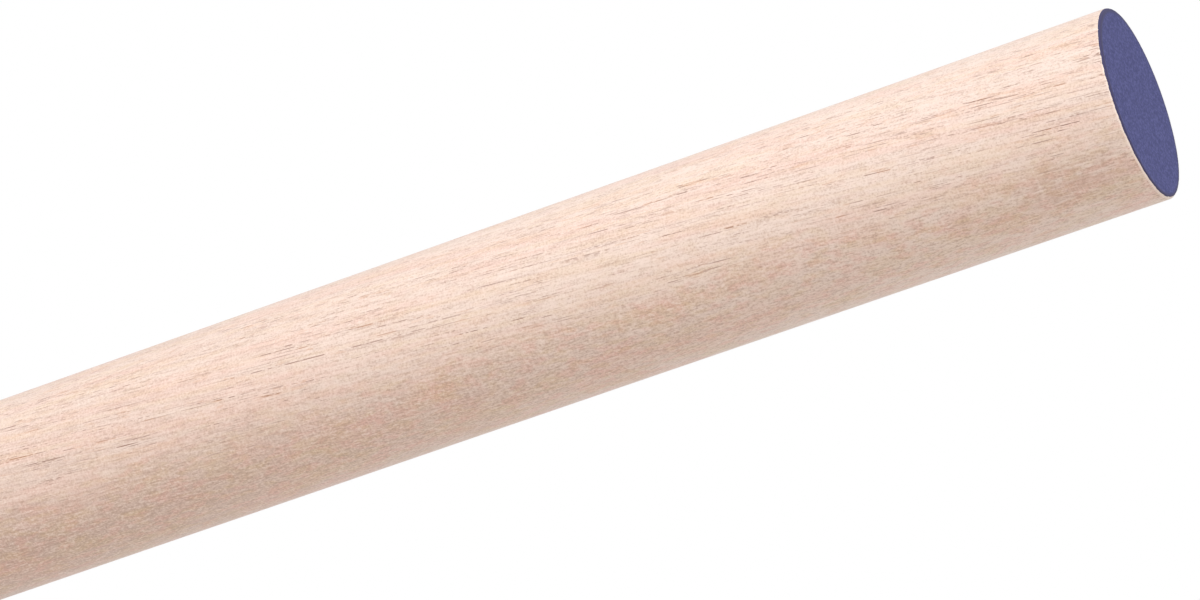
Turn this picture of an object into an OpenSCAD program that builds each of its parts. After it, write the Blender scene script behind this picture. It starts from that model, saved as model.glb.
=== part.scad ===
// Round hardwood dowel rod with a colour-coded end.
// It stands on its bare sawn end: the origin is the middle of that face and the rod runs up +Z.
// The painted end is at the top.

/* [Rod] */
// Diameter of the round stock
rod_d = 25.4; // [6:0.1:50]
// Length of the wood from one sawn face to the other
rod_l = 914.4; // [100:0.1:1220]
// Width of the bevel that breaks the sharp edge of each sawn face
edge_break = 0.4; // [0.1:0.05:1.5]

/* [Painted end] */
// Thickness of the dried coat on the top face
paint_t = 0.15; // [0.05:0.01:0.5]
// How far the coat thins out towards its edge
paint_feather = 0.3; // [0.05:0.05:1]
// Bare ring of wood between the edge of the coat and the bevel
paint_margin = 0; // [0:0.05:0.5]

/* [Finish] */
// Colour of the bare wood
wood_colour = "#E6C9B6";
// Colour of the painted end
paint_colour = "#5B5D8B";

/* [Hidden] */
$fn = 128;

rod_r = rod_d / 2;
sawn_face_r = rod_r - edge_break;
paint_r = sawn_face_r - paint_margin;

// Half section of the turned rod, from its axis outwards: two square faces, two bevels and the round.
module rod_section() {
    polygon([
        [0, 0],
        [sawn_face_r, 0],
        [rod_r, edge_break],
        [rod_r, rod_l - edge_break],
        [sawn_face_r, rod_l],
        [0, rod_l],
    ]);
}

// Half section of the coat: flat on the wood, thinning out at its edge.
module paint_section() {
    polygon([
        [0, 0],
        [paint_r, 0],
        [paint_r - paint_feather, paint_t],
        [0, paint_t],
    ]);
}

module dowel_rod() {
    color(wood_colour)
        rotate_extrude()
            rod_section();
}

// The coat lies face to face on the top end and stops at the bevel.
module end_paint() {
    color(paint_colour)
        translate([0, 0, rod_l])
            rotate_extrude()
                paint_section();
}

dowel_rod();
end_paint();
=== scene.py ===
import math
import bpy
import numpy as np
from mathutils import Matrix, Vector


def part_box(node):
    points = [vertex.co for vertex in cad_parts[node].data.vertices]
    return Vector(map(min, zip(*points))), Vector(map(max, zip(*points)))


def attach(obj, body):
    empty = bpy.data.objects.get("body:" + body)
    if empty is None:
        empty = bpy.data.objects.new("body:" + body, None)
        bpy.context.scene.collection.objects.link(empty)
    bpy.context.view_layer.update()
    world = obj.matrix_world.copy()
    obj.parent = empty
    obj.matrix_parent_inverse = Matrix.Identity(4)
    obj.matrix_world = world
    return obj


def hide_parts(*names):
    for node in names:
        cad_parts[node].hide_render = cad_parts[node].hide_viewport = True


# A round hardwood rod with one painted end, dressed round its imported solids. The rod stands on its bare end.
# Lengths are in metres unless a name or a note says millimetres.
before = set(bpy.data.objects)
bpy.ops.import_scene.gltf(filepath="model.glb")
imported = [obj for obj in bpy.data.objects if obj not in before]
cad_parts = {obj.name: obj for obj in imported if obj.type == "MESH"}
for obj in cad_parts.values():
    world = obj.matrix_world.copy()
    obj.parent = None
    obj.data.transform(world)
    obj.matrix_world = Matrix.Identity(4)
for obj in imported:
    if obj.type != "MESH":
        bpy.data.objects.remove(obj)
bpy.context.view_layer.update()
mm = 0.001
rodLow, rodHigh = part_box("dowel_rod")
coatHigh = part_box("end_paint")[1]
rodRadius = (rodHigh.x - rodLow.x) / 2
rodLength = rodHigh.z
coatThickness = coatHigh.z - rodLength
edgeBreak = rodRadius - coatHigh.x  # the coat ends where the broken edge starts
print(f"frame: rod {rodRadius * 2 / mm:.1f} x {rodLength / mm:.1f} mm, coat {coatThickness / mm:.2f} mm")


def colour(hexText):
    # sRGB hex to the linear red, green, blue and alpha that a colour socket takes
    parts = np.array([int(hexText[i:i + 2], 16) for i in (1, 3, 5)]) / 255
    linear = np.where(parts <= 0.04045, parts / 12.92, ((parts + 0.055) / 1.055) ** 2.4)
    return (*linear.tolist(), 1.0)


def pick(sockets, key):
    # a socket by its place, its identifier or its name
    if isinstance(key, int):
        return sockets[key]
    return next(s for s in sockets if key in (s.identifier, s.name))


def addNode(tree, kind, inputs=(), output=None, **settings):
    # adds a node with its settings, links or fills its inputs, and gives back one output or the node itself
    node = tree.nodes.new("ShaderNode" + kind)
    for name, value in settings.items():
        setattr(node, name, value)
    for key, value in inputs.items() if isinstance(inputs, dict) else enumerate(inputs):
        socket = pick(node.inputs, key)
        if isinstance(value, bpy.types.NodeSocket):
            tree.links.new(value, socket)
        else:
            socket.default_value = value
    return node if output is None else pick(node.outputs, output)


def newTree(owner):
    owner.use_nodes = True
    owner.node_tree.nodes.clear()
    return owner.node_tree


def addObject(name, data, place=Matrix.Identity(4)):
    thing = bpy.data.objects.new(name, data)
    thing.matrix_world = place
    bpy.context.scene.collection.objects.link(thing)
    return thing


def facing(azimuth, elevation):
    # turns the -Z line of sight to come from an azimuth, where 0 looks along +Y, and from above the horizon
    tip = Matrix.Rotation(math.radians(90 - elevation), 4, "X")
    return Matrix.Rotation(math.radians(azimuth), 4, "Z") @ tip


# The camera looks down past the painted end with a long lens. It is rolled, so that the upright rod crosses
# its view from lower left to upper right.
view = {
    "lens": 186.87,  # mm
    "sensor": 36.0,  # mm
    "azimuth": 0.0,  # degrees
    "elevation": 18.82,
    "roll": 70.81,
    "reach": 0.78451,  # from the lens to the painted end, along the line of sight
    "endPixel": (1139.4, 103.1),  # where the middle of the painted end falls, from the top left corner
    "framePixels": (1200, 600),
    "clip": (0.05, 60.0),
}


def addCamera(view):
    # turned by azimuth, elevation and roll, then set back so that the painted end falls on its pixel
    camera = addObject("camera", bpy.data.cameras.new("camera"))
    camera.data.lens = view["lens"]
    camera.data.sensor_width = view["sensor"]
    camera.data.clip_start, camera.data.clip_end = view["clip"]
    turn = facing(view["azimuth"], view["elevation"]) @ Matrix.Rotation(math.radians(view["roll"]), 4, "Z")
    width, height = view["framePixels"]
    pixelSlope = view["sensor"] / view["lens"] / width  # sideways travel a pixel, at 1 m
    across = (view["endPixel"][0] - width / 2) * pixelSlope
    up = (height / 2 - view["endPixel"][1]) * pixelSlope
    fromLens = Vector((across, up, -1)) * view["reach"]
    camera.matrix_world = Matrix.Translation(Vector((0, 0, rodLength)) - turn @ fromLens) @ turn
    bpy.context.scene.camera = camera


addCamera(view)
print("camera: set")

# A plain white room, with one broad soft box on the -X side, well above the rod.
studio = {
    "roomLevel": 0.69,  # what the room gives the rod, where 1 lights a colour just as it is written
    "roomTint": "#FFF7F2",
    "keyTint": "#F7FAFF",
    "keyLevel": 0.64,  # what the soft box adds where the surface faces it
    "keyAzimuth": -57.0,  # degrees round from the camera towards -X
    "keyElevation": 28.0,
    "keyDistance": 3.2,
    "keySize": 2.0,
    "keyAim": 0.75,  # how far up the rod it points
    "floorColour": "#F1EFEC",
    "floorClear": (0.25, 1.1),  # the floor fades out between these distances from the rod
    "floorGap": 0.1 * mm,
    "floorCorners": 96,
}


def addRoom(studio):
    # seen directly, in a gloss or through glass the room is white; as light it has its own plain level
    world = bpy.data.worlds.new("room")
    bpy.context.scene.world = world
    tree = newTree(world)
    path = addNode(tree, "LightPath")
    seen = path.outputs["Is Camera Ray"]
    for ray in ("Is Glossy Ray", "Is Transmission Ray"):
        seen = addNode(tree, "Math", [seen, path.outputs[ray]], "Value", operation="MAXIMUM")
    level = addNode(tree, "MapRange", {"Value": seen, "To Min": studio["roomLevel"], "To Max": 1.0}, "Result")
    tint = addNode(tree, "Mix", {"Factor_Float": seen, "A_Color": colour(studio["roomTint"]),
                                 "B_Color": colour("#FFFFFF")}, "Result_Color", data_type="RGBA")
    light = addNode(tree, "Background", {"Color": tint, "Strength": level}, "Background")
    addNode(tree, "OutputWorld", {"Surface": light})


def addKey(studio):
    # a lamp of P watts at d metres lights what faces it to the level P / (pi d)^2
    lamp = bpy.data.lights.new("softBox", "AREA")
    lamp.size = studio["keySize"]
    lamp.energy = studio["keyLevel"] * (math.pi * studio["keyDistance"]) ** 2
    lamp.color = colour(studio["keyTint"])[:3]
    aim = Matrix.Translation((0, 0, rodLength * studio["keyAim"]))
    back = Matrix.Translation((0, 0, studio["keyDistance"]))
    addObject("softBox", lamp, aim @ facing(studio["keyAzimuth"], studio["keyElevation"]) @ back)


def addFloor(studio):
    # a flat disc of rings of points, each a radius times the cosine and sine of the angle, which is matt near
    # the rod and clear further out and from below
    corners = studio["floorCorners"]
    around = np.linspace(0, 2 * np.pi, corners, endpoint=False)
    radii = np.array([0.0, *studio["floorClear"]])
    grid = np.zeros((len(radii), corners, 3))
    grid[..., :2] = radii[:, None, None] * np.stack([np.cos(around), np.sin(around)], -1)
    grid[..., 2] = -studio["floorGap"]
    mesh = bpy.data.meshes.new("floor")
    index = np.arange(len(radii) * corners).reshape(len(radii), corners)
    quads = np.stack([index[:-1], index[1:], np.roll(index[1:], -1, 1), np.roll(index[:-1], -1, 1)], -1)
    mesh.from_pydata(grid.reshape(-1, 3).tolist(), [], quads.reshape(-1, 4).tolist())
    material = bpy.data.materials.new("floorMatt")
    tree = newTree(material)
    position = addNode(tree, "TexCoord", output="Object")
    distance = addNode(tree, "VectorMath", [position], "Value", operation="LENGTH")
    near, far = studio["floorClear"]
    clear = addNode(tree, "MapRange", {"Value": distance, "From Min": near, "From Max": far}, "Result",
                    interpolation_type="SMOOTHSTEP")
    below = addNode(tree, "NewGeometry", output="Backfacing")
    clear = addNode(tree, "Math", [clear, below], "Value", operation="MAXIMUM")
    matt = addNode(tree, "BsdfDiffuse", {"Color": colour(studio["floorColour"])}, "BSDF")
    nothing = addNode(tree, "BsdfTransparent", output="BSDF")
    surface = addNode(tree, "MixShader", [clear, matt, nothing], "Shader")
    addNode(tree, "OutputMaterial", {"Surface": surface})
    mesh.materials.append(material)
    addObject("floor", mesh)


addRoom(studio)
addKey(studio)
addFloor(studio)
bpy.context.scene.view_settings.view_transform = "Standard"
print("studio: room, soft box and floor")


def makePiece(name, grid, materials, rowMaterial, faceUv):
    # grid is rows x columns x 3, closed round its columns, and its first and last rows are each one point.
    # Rows between become quads, and each end row a fan of triangles. rowMaterial gives the material of each
    # strip of faces, and faceUv the place in the bake's map of each corner, as strips x columns x 4 x 2.
    rows, columns = grid.shape[:2]
    points = np.vstack([grid[0, :1], grid[1:-1].reshape(-1, 3), grid[-1, :1]])
    index = 1 + np.arange((rows - 2) * columns).reshape(rows - 2, columns)
    index = np.vstack([np.zeros((1, columns), int), index, np.full((1, columns), len(points) - 1)])
    here, there = index[:-1], index[1:]
    corners = np.stack([here, np.roll(here, -1, 1), np.roll(there, -1, 1), there], -1)
    kept = np.ones(corners.shape, bool)
    kept[0, :, 1] = False  # the fans have one corner fewer
    kept[-1, :, 2] = False
    sizes = kept.sum(-1).ravel()
    mesh = bpy.data.meshes.new(name)
    mesh.vertices.add(len(points))
    mesh.vertices.foreach_set("co", points.astype(np.float32).ravel())
    mesh.loops.add(int(kept.sum()))
    mesh.loops.foreach_set("vertex_index", corners[kept].astype(np.int32))
    mesh.polygons.add(len(sizes))
    mesh.polygons.foreach_set("loop_start", np.concatenate([[0], np.cumsum(sizes)[:-1]]).astype(np.int32))
    mesh.polygons.foreach_set("material_index", np.repeat(rowMaterial, columns).astype(np.int32))
    mesh.polygons.foreach_set("use_smooth", np.ones(len(sizes), bool))
    mesh.update(calc_edges=True)
    layer = mesh.uv_layers.new(name="OFBake")
    layer.uv.foreach_set("vector", faceUv[kept].astype(np.float32).ravel())
    for material in materials:
        mesh.materials.append(material)
    return addObject(name, mesh)


def ripple(seed, places, waves):
    # a smooth uneven height in -1..1: a sum of sine waves of random direction and phase, whose lengths run
    # from the longest to the shortest
    count, shortest, longest = waves
    rng = np.random.default_rng(seed)
    total = np.zeros(places.shape[:-1])
    for length in np.geomspace(longest, shortest, count):
        direction = rng.normal(size=places.shape[-1])
        direction /= np.linalg.norm(direction)
        total += np.sin(places @ direction * 2 * np.pi / length + rng.uniform(0, 2 * np.pi))
    return total / count


def ringUv(near, far, low, high):
    # the places of the corners of strips of faces, from where each strip starts and ends one way in the map
    # and each column the other way
    near, far, low, high = np.broadcast_arrays(near[:, None], far[:, None], low, high)
    corners = ((near, low), (near, high), (far, high), (far, low))
    return np.stack([np.stack(corner, -1) for corner in corners], 2)


def discUv(grid, rings, size, middle):
    # a face laid flat in the bake's map: its points scaled to the size given and set round the middle given
    flat = grid[:rings, :, :2] / rodRadius / 2 * size + middle
    turned = np.roll(flat, -1, 1)
    return np.stack([flat[:-1], turned[:-1], turned[1:], flat[1:]], 2)


rod = {
    "columns": 256,
    "sideStep": 6 * mm,  # spacing of the rings along the side
    "edgeRings": 7,  # rings over the rounded edge
    "faceRings": 64,
    "edgeUneven": 0.3,  # how much the hand-broken edge varies, as a share of its size
    "edgeWaves": (6, 0.5, 2.5),  # how many waves, and the shortest and longest, in rod radii
    "sideRelief": 0.02 * mm,  # depth of the shallow waves that the sander leaves
    "sideWaves": (9, 6.0, 40.0),  # mm
    "sideStretch": 4,  # how much longer they are along the rod
    "sawRelief": 0.03 * mm,  # depth of the saw's marks on the sawn faces
    "sawPitch": 1.1 * mm,
    "sawSweep": 130 * mm,  # radius of the blade that left them
    "sawShares": (0.28, 0.2),  # how much of the depth is arcs, and how much is unevenness
    "sawWaves": (8, 2.0, 12.0),  # mm
    "sawFade": 0.5 * mm,  # the marks fade out this far in from the edge
    "seed": 7,
    "mapLanes": 3,  # the bake's map holds the side in this many lengths, one above the other
    "mapGap": 0.004,
    "mapDiscs": (0.25, 0.75),  # where the middles of the two end faces lie across it
}


def edgeRound(rod, around):
    # size of the rounded edge at each angle: the edge break, made smaller by a few slow waves round the rim
    rim = np.stack([np.cos(around), np.sin(around)], -1)
    wave = ripple(rod["seed"], rim, rod["edgeWaves"])
    return edgeBreak * (1 - rod["edgeUneven"] * (0.5 + 0.5 * wave))


def sawMarks(rod, x, y):
    # arcs one pitch apart, as a large round blade leaves them: a sine of the distance from the blade's middle
    distance = np.hypot(x + rod["sawSweep"], y)
    uneven = ripple(rod["seed"] + 1, np.stack([x, y], -1) / mm, rod["sawWaves"])
    arcs, rough = rod["sawShares"]
    return rod["sawRelief"] * (0.5 + arcs * np.sin(distance * 2 * np.pi / rod["sawPitch"]) + rough * uneven)


def rodGrid(rod):
    # a profile turned round the axis: out across the bottom face, round its edge, up the side, round the top
    # edge and in across the top face. Each ring is a radius and a height, and both follow the angle a little.
    around = np.linspace(0, 2 * np.pi, rod["columns"], endpoint=False)
    edge = edgeRound(rod, around)
    share = np.linspace(0, 1, rod["faceRings"])[:, None]
    bend = np.linspace(0, np.pi / 2, rod["edgeRings"])[1:, None]
    lanes = rod["mapLanes"]
    sideRings = int(round(rodLength / rod["sideStep"] / lanes)) * lanes + 1
    climb = np.linspace(0, 1, sideRings)[1:-1, None]
    faceRadius = share * (rodRadius - edge)
    edgeRadius = rodRadius - edge * (1 - np.sin(bend))
    edgeHeight = edge * (1 - np.cos(bend))
    sideHeight = edge + climb * (rodLength - 2 * edge)
    radius = np.vstack([faceRadius, edgeRadius, np.full_like(sideHeight, rodRadius),
                        edgeRadius[::-1], faceRadius[::-1]])
    height = np.vstack([np.zeros_like(faceRadius), edgeHeight, sideHeight,
                        rodLength - edgeHeight[::-1], np.full_like(faceRadius, rodLength)])
    x, y = radius * np.cos(around), radius * np.sin(around)
    marks = sawMarks(rod, x, y) * np.clip((rodRadius - edge - radius) / rod["sawFade"], 0, 1)
    height = height + np.where(height < rodLength / 2, marks, -marks)
    wave = ripple(rod["seed"] + 2, np.stack([x, y, height / rod["sideStretch"]], -1) / mm, rod["sideWaves"])
    onSide = np.isclose(radius, rodRadius)
    radius = radius - onSide * rod["sideRelief"] * (0.5 + 0.5 * wave)
    return np.stack([radius * np.cos(around), radius * np.sin(around), height], -1)


def rodUv(rod, grid):
    # the bake's map: the side is cut across into lengths laid one above the other, measured along the
    # profile so that no face is lost, and the two end faces are discs in the strip left over
    gap = rod["mapGap"]
    faces = rod["faceRings"]
    lanes = rod["mapLanes"]
    profile = np.stack([np.hypot(grid[:, 0, 0], grid[:, 0, 1]), grid[:, 0, 2]], -1)
    run = np.concatenate([[0], np.cumsum(np.linalg.norm(np.diff(profile, axis=0), axis=1))])
    run = (run - run[faces - 1]) / (run[-faces] - run[faces - 1]) * lanes
    lane = np.clip(np.floor((run[:-1] + run[1:]) / 2), 0, lanes - 1)
    near, far = ((r - lane) * (1 - 2 * gap) + gap for r in (run[:-1], run[1:]))
    width = (1 - 2 * gap) / rodLength * lanes * 2 * np.pi * rodRadius
    turn = np.linspace(0, width, rod["columns"] + 1)
    start = (gap + lane * (width + gap))[:, None]
    uv = ringUv(near, far, start + turn[:-1], start + turn[1:])
    room = 1 - lanes * (width + gap) - 2 * gap
    bottom, top = ((across, 1 - gap - room / 2) for across in rod["mapDiscs"])
    uv[:faces - 1] = discUv(grid, faces, room, bottom)
    uv[1 - faces:] = discUv(grid[-faces:], faces, room, top)
    return uv


coat = {
    "columns": 360,
    "rings": 40,
    "lap": 0.23 * mm,  # how far the coat runs out over the rounded edge, on average
    "lapLean": 0.14 * mm,  # and how much further on the side it was wiped towards
    "lapTowards": 160.0,  # degrees round from +X
    "lapLimits": (-0.3 * mm, 0.9),  # no shorter than this, and no more than this share of the rounded edge
    "ragged": 0.12 * mm,  # small unevenness of the coat's edge
    "raggedWaves": (14, 0.02, 0.6),  # in rod radii
    "feather": 0.2 * mm,  # how far in the coat takes to reach its thickness
    "sink": 0.02 * mm,  # how deep the coat's underside sits in the wood
    "relief": 0.02 * mm,
    "reliefWaves": (22, 0.9, 6.0),  # mm
    "seed": 21,
    "mapGap": 0.02,
    "mapUnder": 0.12,  # width of the hidden underside in the bake's map
}


def woodTop(radius, edge):
    # height of the wood at a radius: flat, then down a quarter round of the size given
    past = np.clip((radius - (rodRadius - edge)) / edge, 0, 1)
    return rodLength - edge * (1 - np.sqrt(1 - past ** 2))


def coatGrid(coat, rod):
    # out along the underside, which follows the wood, then back in over the top, which stands above it by a
    # thickness that rises from the edge as a quarter ellipse
    around = np.linspace(0, 2 * np.pi, coat["columns"], endpoint=False)
    edge = edgeRound(rod, around)
    rim = np.stack([np.cos(around), np.sin(around)], -1)
    lean = np.cos(around - math.radians(coat["lapTowards"]))
    ragged = coat["ragged"] * ripple(coat["seed"], rim, coat["raggedWaves"])
    shortest, longest = coat["lapLimits"]
    lap = np.clip(coat["lap"] + coat["lapLean"] * lean + ragged, shortest, longest * edge)
    outline = rodRadius - edge + lap
    share = np.sin(np.linspace(0, np.pi / 2, coat["rings"]))[:, None]  # closer together near the rim
    radius = share * outline
    x, y = radius * np.cos(around), radius * np.sin(around)
    uneven = ripple(coat["seed"] + 1, np.stack([x, y], -1) / mm, coat["reliefWaves"])
    inwards = np.clip((outline - radius) / coat["feather"], 0, 1)
    thickness = (coatThickness - coat["relief"] * (0.5 + uneven)) * np.sqrt(1 - (1 - inwards) ** 2)
    above = np.minimum(woodTop(radius, edge) + thickness, rodLength + coatThickness)
    sunk = share * (outline - coat["sink"])
    under = np.stack([sunk * np.cos(around), sunk * np.sin(around), woodTop(sunk, edge) - coat["sink"]], -1)
    over = np.stack([x, y, above], -1)[::-1]
    return np.concatenate([under, over])


def coatUv(coat, grid):
    # the top fills the map as one disc, and the hidden underside is a small disc in its corner
    rings, gap, small = coat["rings"], coat["mapGap"], coat["mapUnder"]
    under = discUv(grid, rings, small, (gap + small / 2, gap + small / 2))
    over = discUv(grid[rings - 1:], rings + 1, 1 - 2 * gap, (0.5, 0.5))
    return np.concatenate([under, over])


def grains(tree, place, size, shift=0.0, detail=2.0, roughness=0.6):
    # a noise whose grains are so many millimetres across and along
    across, along = size
    cells = addNode(tree, "Mapping", {"Vector": place, "Location": [shift] * 3,
                                      "Scale": (1 / across, 1 / across, 1 / along)}, "Vector")
    return addNode(tree, "TexNoise", {"Vector": cells, "Scale": 1.0, "Detail": detail,
                                      "Roughness": roughness})


def patches(tree, place, patch, most=1.0, shift=0.0):
    # where a noise passes its limits: 0 below them, and the most given above
    level = grains(tree, place, patch["size"], patch.get("shift", shift), detail=1.0).outputs["Fac"]
    low, high = patch["limits"]
    return addNode(tree, "MapRange", {"Value": level, "From Min": low, "From Max": high, "To Max": most},
                   "Result", interpolation_type="SMOOTHSTEP")


def layered(tree, base, layers):
    # colours laid over a base one after another, each by its own share of 0 to 1
    for share, over in layers:
        over = colour(over) if isinstance(over, str) else over
        base = addNode(tree, "Mix", {"Factor_Float": share, "A_Color": base, "B_Color": over},
                       "Result_Color", data_type="RGBA")
    return base


# The wood: a pale, pinkish, open-pored tropical hardwood of the light meranti kind, turned between rollers,
# sanded and left bare. It is dry and nearly matt. Its vessels are cut open as fine brown dashes, long where
# they run along the surface and short where they dive into it. Sizes are millimetres, across and along the
# fibres. The finest streaks and fuzz are 0.05 mm in the real wood, and are drawn as coarse as they need to
# show.
wood = {
    "body": "#EEDACD",
    "pale": "#FBE6D9",
    "shade": "#BA9985",
    "vessel": "#90604C",
    "gum": "#E3B797",  # some vessels and the fibres beside them are coloured by gum
    "gumVessel": "#A97250",
    "gumPatch": {"size": (0.9, 4.5), "limits": (0.58, 0.64), "shift": 5.0},
    "surface": {"Roughness": 0.54, "IOR": 1.5, "Specular IOR Level": 0.85, "Sheen Weight": 0.5,
                "Sheen Roughness": 0.35},
    "relief": 0.03,  # depth of an open vessel
    "fibres": {
        "tilt": (-1.5, -4.8, 0.0),  # degrees that they lean from the rod's axis, about X, Y and Z
        "waveHeight": 1.2,  # how far the slow waves carry a fibre sideways
        "waveSize": (26.0, 120.0),
    },
    # flat-sawn faces one way and its opposite, and quarter-sawn is what lies between
    "quarter": {
        "flatSide": (-0.588, -0.809),  # the way the flat-sawn side faces
        "from": (0.80, 1.14),  # how far round from it the look turns, 1 being square to it
        "uneven": 0.5,  # how far the border wanders
        "unevenSize": (4.5, 12.0),
    },
    # what shows on the flat-sawn and on the quarter-sawn sides
    "most": {
        "dash": (1.0, 0.22),  # the share of the dashes
        "lip": (0.45, 0.0),  # how much paler the fibres are beside an open vessel
        "toneAndShade": (0.40, 0.86),  # how much darker it is made away from the painted end, partly a deeper tone and partly painted shade
    },
    # partly painted shade and partly a deeper wood tone: the wood is darkened away from the painted end, where
    # the light falls off along the rod, and more on the quarter-sawn side, the shaded side in the camera's
    # view
    "toneAndShadeColour": "#CDAF9F",
    "toneAndShadeFrom": (30.0, 165.0),  # from the painted end, where that darkening begins and where it is full
    "vessels": {
        "open": {
            "pitch": 0.19,  # between neighbours
            "length": 50.0,  # of a vessel along the fibres
            "start": (0.0, 0.0, 311.9),  # slides the pattern, which gives another rod of the same wood
            "radius": (0.03, 0.088),
            "beads": {"size": (0.4, 1.6), "limits": (0.42, 0.54)},  # the noise that breaks a line into dashes
            "groups": {"size": (2.6, 22.0), "limits": (0.40, 0.54)},  # the noise that gathers them
            "dark": (0.32, 0.98),
        },
        "fine": {
            "pitch": 0.16,
            "length": 14.0,
            "start": (0.0, 0.0, 0.0),
            "radius": (0.03, 0.07),
            "beads": {"size": (0.3, 0.8), "limits": (0.40, 0.60)},
            "groups": {"size": (2.0, 9.0), "limits": (0.36, 0.54)},
            "dark": (0.25, 0.85),
        },
    },
    "vesselEdges": {"inside": (1.25, 0.5), "lip": (2.6, 1.4)},  # in radii, where each begins and is full
    "figure": {
        "streak": {"size": (0.24, 5.0), "gain": 0.65},  # fine fibre streaks
        "fuzz": {"size": (0.25, 0.29), "gain": 0.85},  # what the sander raises
        "speck": {"size": (0.25, 0.72), "gain": 0.95, "turn": (-4.0, -10.0, 0.0)},  # degrees
        "spread": 0.245,  # how far from its middle the summed noise goes before it is all pale or all shade
        "pale": 0.7,  # the most of each
        "shade": 0.6,
    },
    "scratch": {"size": (7.0, 0.22), "limits": (0.60, 0.74), "most": 0.25},  # round the rod, by the sander
    # patches of other tones, and the most that shows on the flat-sawn and on the quarter-sawn sides
    # the pink tints are stronger on the quarter-sawn side partly as the wood's own mottling and partly as
    # painted warm shade, for the side turned from the soft box in the camera's view
    "tints": {
        "paleBand": {"size": (2.2, 110), "limits": (0.35, 0.65), "most": (0.25, 0.10), "colour": "#F8E5D6"},
        "pinkStreak": {"size": (2.4, 28), "limits": (0.46, 0.66), "most": (0.32, 0.0), "colour": "#EBBCAC"},
        "strawStreak": {"size": (1.3, 30), "limits": (0.46, 0.66), "most": (0.34, 0.12), "colour": "#EACFAF"},
        "pinkCloud": {"size": (4.0, 9.0), "limits": (0.46, 0.66), "most": (0.0, 0.38), "colour": "#E9BAAA"},
        "strawCloud": {"size": (3.5, 9.0), "limits": (0.48, 0.68), "most": (0.0, 0.30), "colour": "#DFC499"},
        "pinkMottle": {"size": (1.2, 2.6), "limits": (0.46, 0.68), "most": (0.12, 0.41), "colour": "#EBB6A6"},
        "strawMottle": {"size": (1.1, 2.8), "limits": (0.48, 0.7), "most": (0.14, 0.34), "colour": "#DEC092"},
    },
    "tintStep": 3.7,  # slides each tint's noise on from the last one's, so that their patches don't coincide
    # a brown water stain on one side, a little below the painted end
    "stain": {
        "place": (6.3, -11.0, 905.0),
        "reach": (5.0, 5.0, 11.0),
        "full": 0.3,  # of the reach
        "patch": {"size": (0.4, 1.8), "limits": (0.35, 0.60), "shift": 9.0},
        "most": 0.35,
        "colour": "#C2957A",
    },
    # what the saw does close to either end, and the painted highlight along each broken edge
    "ends": {
        "edgeHighlight": (0.32, 0.12),  # from the end, where the painted highlight on the broken edge begins and where it is full
        "edgeHighlightMost": 0.7,
        "edgeHighlightColour": "#FBEDE2",
        "torn": (1.6, 0.6),  # and the same for fibres torn out by the saw
        "tornMost": 0.6,
        "tornPatch": {"size": (0.33, 0.8), "limits": (0.62, 0.70)},
    },
}


def fibreSpace(tree, fibres):
    # Object coordinates in millimetres, and the same turned so that Z follows the fibres, then bent by slow
    # waves
    position = addNode(tree, "TexCoord", output="Object")
    inMm = addNode(tree, "VectorMath", {"Vector": position, "Scale": 1 / mm}, "Vector", operation="SCALE")
    tilt = [math.radians(angle) for angle in fibres["tilt"]]
    turned = addNode(tree, "Mapping", {"Vector": inMm, "Rotation": tilt}, "Vector")
    waves = grains(tree, turned, fibres["waveSize"], detail=1.0).outputs["Color"]
    centred = addNode(tree, "VectorMath", [waves, (0.5, 0.5, 0.5)], "Vector", operation="SUBTRACT")
    height = fibres["waveHeight"] * 2
    bend = addNode(tree, "VectorMath", [centred, (height, height, 0.0)], "Vector", operation="MULTIPLY")
    return inMm, addNode(tree, "VectorMath", [turned, bend], "Vector", operation="ADD")


def vesselMasks(tree, fibres, kind, edges):
    # Every Voronoi cell holds one slender vessel of its own random radius and darkness. The first mask is 1
    # inside a vessel, broken up by the beads and the groups, and the second is 1 on the lip round it.
    pitch = kind["pitch"]
    scale = (1 / pitch, 1 / pitch, 1 / kind["length"])
    fibres = addNode(tree, "VectorMath", [fibres, kind["start"]], "Vector", operation="ADD")
    place = addNode(tree, "Mapping", {"Vector": fibres, "Scale": scale}, "Vector")
    cells = addNode(tree, "TexVoronoi", {"Vector": place, "Scale": 1.0, "Randomness": 1.0}, feature="F1")
    chance = addNode(tree, "SeparateColor", [cells.outputs["Color"]])
    low, high = (radius / pitch for radius in kind["radius"])
    radius = addNode(tree, "MapRange", {"Value": chance.outputs["Red"], "To Min": low, "To Max": high},
                     "Result")
    ratio = addNode(tree, "Math", [cells.outputs["Distance"], radius], "Value", operation="DIVIDE")
    low, high = kind["dark"]
    shown = addNode(tree, "MapRange", {"Value": chance.outputs["Green"], "To Min": low, "To Max": high},
                    "Result")
    for patch in (kind["beads"], kind["groups"]):
        shown = addNode(tree, "Math", [shown, patches(tree, fibres, patch)], "Value", operation="MULTIPLY")
    masks = []
    for begins, full in edges.values():
        mask = addNode(tree, "MapRange", {"Value": ratio, "From Min": begins, "From Max": full}, "Result",
                       interpolation_type="SMOOTHSTEP")
        masks.append(addNode(tree, "Math", [mask, shown], "Value", operation="MULTIPLY"))
    return masks


def quarterShare(tree, inMm, fibres, quarter):
    # 0 on the flat-sawn sides and 1 halfway between them, with an uneven border
    flatX, flatY = quarter["flatSide"]
    square = (flatY * mm / rodRadius, -flatX * mm / rodRadius, 0.0)
    turned = addNode(tree, "VectorMath", [inMm, square], "Value", operation="DOT_PRODUCT")
    turned = addNode(tree, "Math", [turned], "Value", operation="ABSOLUTE")
    uneven = grains(tree, fibres, quarter["unevenSize"]).outputs["Fac"]
    turned = addNode(tree, "Math", [uneven, quarter["uneven"], turned], "Value", operation="MULTIPLY_ADD")
    low, high = quarter["from"]
    return addNode(tree, "MapRange", {"Value": turned, "From Min": low, "From Max": high}, "Result",
                   interpolation_type="SMOOTHSTEP")


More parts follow.
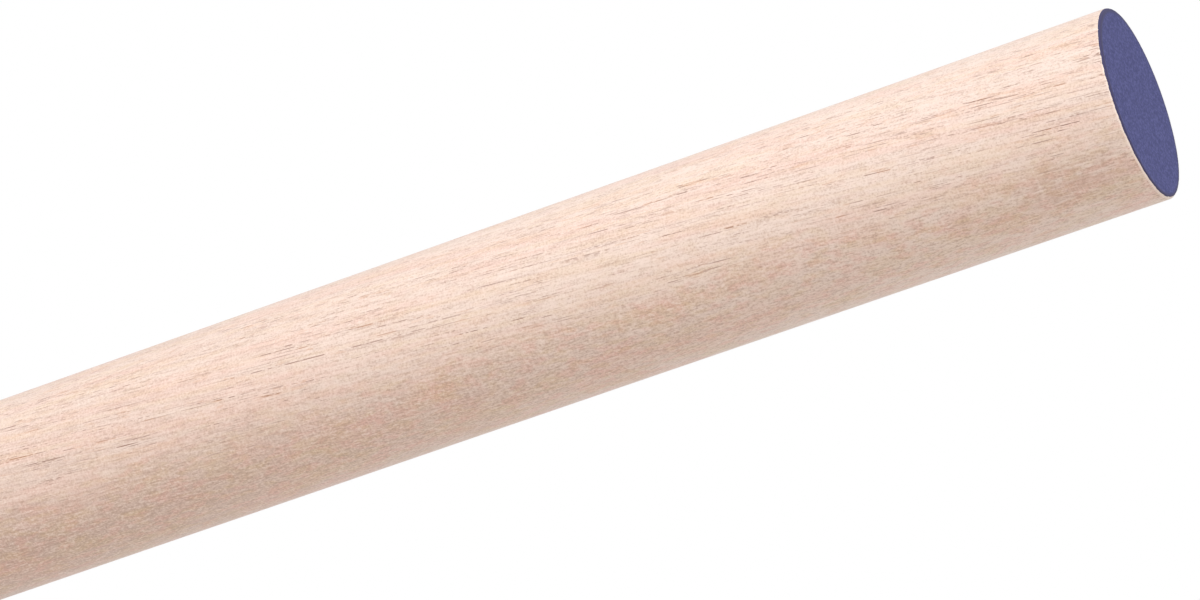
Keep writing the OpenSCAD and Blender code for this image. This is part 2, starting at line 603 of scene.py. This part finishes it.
def bySide(tree, quarterSawn, wood):
    # the most that shows of each thing, going from its flat-sawn value to its quarter-sawn one
    sides = {**wood["most"], **{name: tint["most"] for name, tint in wood["tints"].items()}}
    most = {}
    for name, (flat, square) in sides.items():
        most[name] = addNode(tree, "MapRange", {"Value": quarterSawn, "To Min": flat, "To Max": square},
                             "Result")
    return most


def stainShare(tree, inMm, stain):
    # fades from the middle of an ellipsoid to its surface, and is uneven inside
    away = addNode(tree, "VectorMath", [inMm, stain["place"]], "Vector", operation="SUBTRACT")
    away = addNode(tree, "VectorMath", [away, stain["reach"]], "Vector", operation="DIVIDE")
    away = addNode(tree, "VectorMath", [away], "Value", operation="LENGTH")
    soft = addNode(tree, "MapRange", {"Value": away, "From Min": 1.0, "From Max": stain["full"],
                                      "To Max": stain["most"]}, "Result", interpolation_type="SMOOTHSTEP")
    return addNode(tree, "Math", [soft, patches(tree, inMm, stain["patch"])], "Value", operation="MULTIPLY")


def woodFigure(tree, inMm, fibres, quarterSawn, figure):
    # fuzz and streaks everywhere and specks on the quarter-sawn sides, summed about 0
    lean = [math.radians(angle) for angle in figure["speck"]["turn"]]
    leaning = addNode(tree, "Mapping", {"Vector": inMm, "Rotation": lean}, "Vector")
    levels = {}
    for name, place in (("streak", fibres), ("fuzz", inMm), ("speck", leaning)):
        level = grains(tree, place, figure[name]["size"]).outputs["Fac"]
        half = figure[name]["gain"] / 2
        levels[name] = addNode(tree, "MapRange", {"Value": level, "To Min": -half, "To Max": half},
                               "Result")
    total = addNode(tree, "Math", [levels["speck"], quarterSawn, levels["fuzz"]], "Value",
                    operation="MULTIPLY_ADD")
    return addNode(tree, "Math", [total, levels["streak"]], "Value", operation="ADD")


def endShares(tree, inMm, height, ends):
    # how much each place near an end gets the painted highlight of the broken edge, and how much it is torn
    fromTop = addNode(tree, "Math", [rodLength / mm, height], "Value", operation="SUBTRACT")
    fromEnd = addNode(tree, "Math", [fromTop, height], "Value", operation="MINIMUM")
    shares = []
    for name in ("edgeHighlight", "torn"):
        low, high = ends[name]
        shares.append(addNode(tree, "MapRange", {"Value": fromEnd, "From Min": low, "From Max": high,
                                                 "To Max": ends[name + "Most"]}, "Result"))
    edgeHighlight, torn = shares
    spots = patches(tree, inMm, ends["tornPatch"])
    return edgeHighlight, addNode(tree, "Math", [torn, spots], "Value", operation="MULTIPLY")


def bareHardwood(wood):
    material = bpy.data.materials.new("bareHardwood")
    tree = newTree(material)
    inMm, fibres = fibreSpace(tree, wood["fibres"])
    quarterSawn = quarterShare(tree, inMm, fibres, wood["quarter"])
    most = bySide(tree, quarterSawn, wood)
    total = woodFigure(tree, inMm, fibres, quarterSawn, wood["figure"])
    openIn, openLip = vesselMasks(tree, fibres, wood["vessels"]["open"], wood["vesselEdges"])
    fineIn = vesselMasks(tree, fibres, wood["vessels"]["fine"], wood["vesselEdges"])[0]
    dash = addNode(tree, "Math", [openIn, fineIn], "Value", operation="MAXIMUM")
    dash = addNode(tree, "Math", [dash, most["dash"]], "Value", operation="MULTIPLY")
    lip = addNode(tree, "Math", [openLip, most["lip"]], "Value", operation="MULTIPLY")
    gummed = patches(tree, fibres, wood["gumPatch"])

    # tones from the broadest to the finest, then what lies over them
    height = addNode(tree, "SeparateXYZ", [inMm], "Z")
    # partly painted shade, partly a deeper wood tone: darker away from the painted end, and more on the
    # quarter-sawn side
    low, high = (rodLength / mm - reach for reach in wood["toneAndShadeFrom"])
    toneAndShadeShare = addNode(tree, "MapRange", {"Value": height, "From Min": low, "From Max": high,
                                        "To Max": most["toneAndShade"]}, "Result")
    layers = [(toneAndShadeShare, wood["toneAndShadeColour"])]
    for order, (name, tint) in enumerate(wood["tints"].items(), 1):
        share = patches(tree, fibres, tint, most[name], wood["tintStep"] * order)
        layers.append((share, tint["colour"]))
    figure = wood["figure"]
    for tone, limit in (("pale", figure["spread"]), ("shade", -figure["spread"])):
        share = addNode(tree, "MapRange", {"Value": total, "From Max": limit, "To Max": figure[tone]},
                        "Result")
        layers.append((share, wood[tone]))
    edgeHighlight, torn = endShares(tree, inMm, height, wood["ends"])
    layers += [
        (stainShare(tree, inMm, wood["stain"]), wood["stain"]["colour"]),
        (patches(tree, inMm, wood["scratch"], wood["scratch"]["most"]), wood["pale"]),
        (lip, layered(tree, colour(wood["pale"]), [(gummed, wood["gum"])])),
        (torn, wood["vessel"]),
        # painted highlight: the broken edge near each end is made paler, as if it caught the light
        (edgeHighlight, wood["ends"]["edgeHighlightColour"]),
        (dash, layered(tree, colour(wood["vessel"]), [(gummed, wood["gumVessel"])])),
    ]
    base = layered(tree, colour(wood["body"]), layers)
    depth = addNode(tree, "Math", [dash, -1.0, total], "Value", operation="MULTIPLY_ADD")
    bump = addNode(tree, "Bump", {"Height": depth, "Distance": wood["relief"] * mm, "Strength": 1.0},
                   "Normal")
    shader = addNode(tree, "BsdfPrincipled", {**wood["surface"], "Base Color": base, "Normal": bump}, "BSDF")
    addNode(tree, "OutputMaterial", {"Surface": shader})
    return material


# The same wood cut across by a fine saw: its vessels are round dots, its rings are faint arcs, and the open
# ends of the fibres drink in light.
sawn = {
    "body": "#D9BBAA",
    "ring": "#B08A76",
    "ringMost": 0.3,
    "ringPitch": 3.1,
    "ringFrom": (0.1, 1.0),  # of the sine's height, where a ring begins and where it is full
    "pith": (22.0, 136.0),  # where the tree's middle is, beside the rod
    "pore": "#7C5644",
    "pores": {  # the vessels where the saw cuts across them
        "pitch": 0.42,
        "length": 50.0,
        "start": (0.0, 0.0, 0.0),
        "radius": (0.06, 0.13),
        "beads": {"size": (0.9, 9.0), "limits": (0.22, 0.34)},
        "groups": {"size": (3.0, 22.0), "limits": (0.24, 0.40)},
        "dark": (0.5, 0.95),
    },
    "scrape": {"size": (0.35, 40.0), "limits": (0.48, 0.70), "most": 0.35, "colour": "#EBD3C5"},
    "surface": {"Roughness": 0.8, "IOR": 1.5, "Specular IOR Level": 0.2},
}


def sawnEnd(wood, sawn):
    material = bpy.data.materials.new("sawnEndGrain")
    tree = newTree(material)
    inMm, fibres = fibreSpace(tree, wood["fibres"])
    pores = vesselMasks(tree, fibres, sawn["pores"], wood["vesselEdges"])[0]
    flat = addNode(tree, "VectorMath", [fibres, (1.0, 1.0, 0.0)], "Vector", operation="MULTIPLY")
    reach = addNode(tree, "VectorMath", [flat, (*sawn["pith"], 0.0)], "Value", operation="DISTANCE")
    phase = addNode(tree, "Math", [reach, 2 * math.pi / sawn["ringPitch"]], "Value", operation="MULTIPLY")
    wave = addNode(tree, "Math", [phase], "Value", operation="SINE")
    low, high = sawn["ringFrom"]
    ring = addNode(tree, "MapRange", {"Value": wave, "From Min": low, "From Max": high,
                                      "To Max": sawn["ringMost"]}, "Result", interpolation_type="SMOOTHSTEP")
    # the saw scrapes across the face, so its noise is stretched along Y instead of along the fibres
    across = addNode(tree, "Mapping", {"Vector": inMm, "Rotation": (math.pi / 2, 0.0, 0.0)}, "Vector")
    scrape = patches(tree, across, sawn["scrape"], sawn["scrape"]["most"])
    base = layered(tree, colour(sawn["body"]),
                   [(ring, sawn["ring"]), (scrape, sawn["scrape"]["colour"]), (pores, sawn["pore"])])
    shader = addNode(tree, "BsdfPrincipled", {**sawn["surface"], "Base Color": base}, "BSDF")
    addNode(tree, "OutputMaterial", {"Surface": shader})
    return material


# Flat acrylic colour-code paint, dabbed on sawn end grain: it dries matt and a little mottled over the pores,
# and darker where it gathers at the rim.
paint = {
    "body": "#42467F",
    "light": "#565B95",
    "deep": "#33386F",
    "rim": "#403E63",
    "dab": (0.31, 0.53, 1.0),  # mm along X, Y and Z
    "dabNoise": {"Scale": 1.0, "Detail": 2.0, "Roughness": 0.6},
    "limits": (0.5, 0.16),  # middle of the noise, and how far from it the colour is all light or all deep
    "most": 0.85,
    "rimFrom": (11.8, 12.4),  # mm from the middle
    "surface": {"Roughness": 0.7, "IOR": 1.5, "Specular IOR Level": 0.3},
}


def endPaint(paint):
    material = bpy.data.materials.new("acrylicEndPaint")
    tree = newTree(material)
    position = addNode(tree, "TexCoord", output="Object")
    scale = [1 / mm / size for size in paint["dab"]]
    dabs = addNode(tree, "Mapping", {"Vector": position, "Scale": scale}, "Vector")
    mottle = addNode(tree, "TexNoise", {"Vector": dabs, **paint["dabNoise"]}, "Fac")
    layers = []
    middle, spread = paint["limits"]
    for tone, limit in (("light", middle + spread), ("deep", middle - spread)):
        share = addNode(tree, "MapRange", {"Value": mottle, "From Min": middle, "From Max": limit,
                                           "To Max": paint["most"]}, "Result")
        layers.append((share, paint[tone]))
    flat = addNode(tree, "VectorMath", [position, (1.0, 1.0, 0.0)], "Vector", operation="MULTIPLY")
    reach = addNode(tree, "VectorMath", [flat], "Value", operation="LENGTH")
    low, high = (radius * mm for radius in paint["rimFrom"])
    rim = addNode(tree, "MapRange", {"Value": reach, "From Min": low, "From Max": high}, "Result",
                  interpolation_type="SMOOTHSTEP")
    base = layered(tree, colour(paint["body"]), [*layers, (rim, paint["rim"])])
    shader = addNode(tree, "BsdfPrincipled", {**paint["surface"], "Base Color": base}, "BSDF")
    addNode(tree, "OutputMaterial", {"Surface": shader})
    return material


skins = [bareHardwood(wood), sawnEnd(wood, sawn)]
print("materials: bare hardwood and its sawn end grain")
rodPoints = rodGrid(rod)
onFace = np.zeros(len(rodPoints) - 1, int)  # 1 where a strip is on a sawn face
onFace[:rod["faceRings"] - 1] = 1
onFace[1 - rod["faceRings"]:] = 1
rodPiece = makePiece("turned_rod", rodPoints, skins, onFace, rodUv(rod, rodPoints))
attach(rodPiece, "root")
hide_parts("dowel_rod")
print(f"rod: {len(rodPiece.data.polygons)} faces")

coatPoints = coatGrid(coat, rod)
allPaint = np.zeros(len(coatPoints) - 1, int)
coatPiece = makePiece("paint_coat", coatPoints, [endPaint(paint)], allPaint, coatUv(coat, coatPoints))
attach(coatPiece, "root")
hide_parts("end_paint")
print(f"coat: {len(coatPiece.data.polygons)} faces")
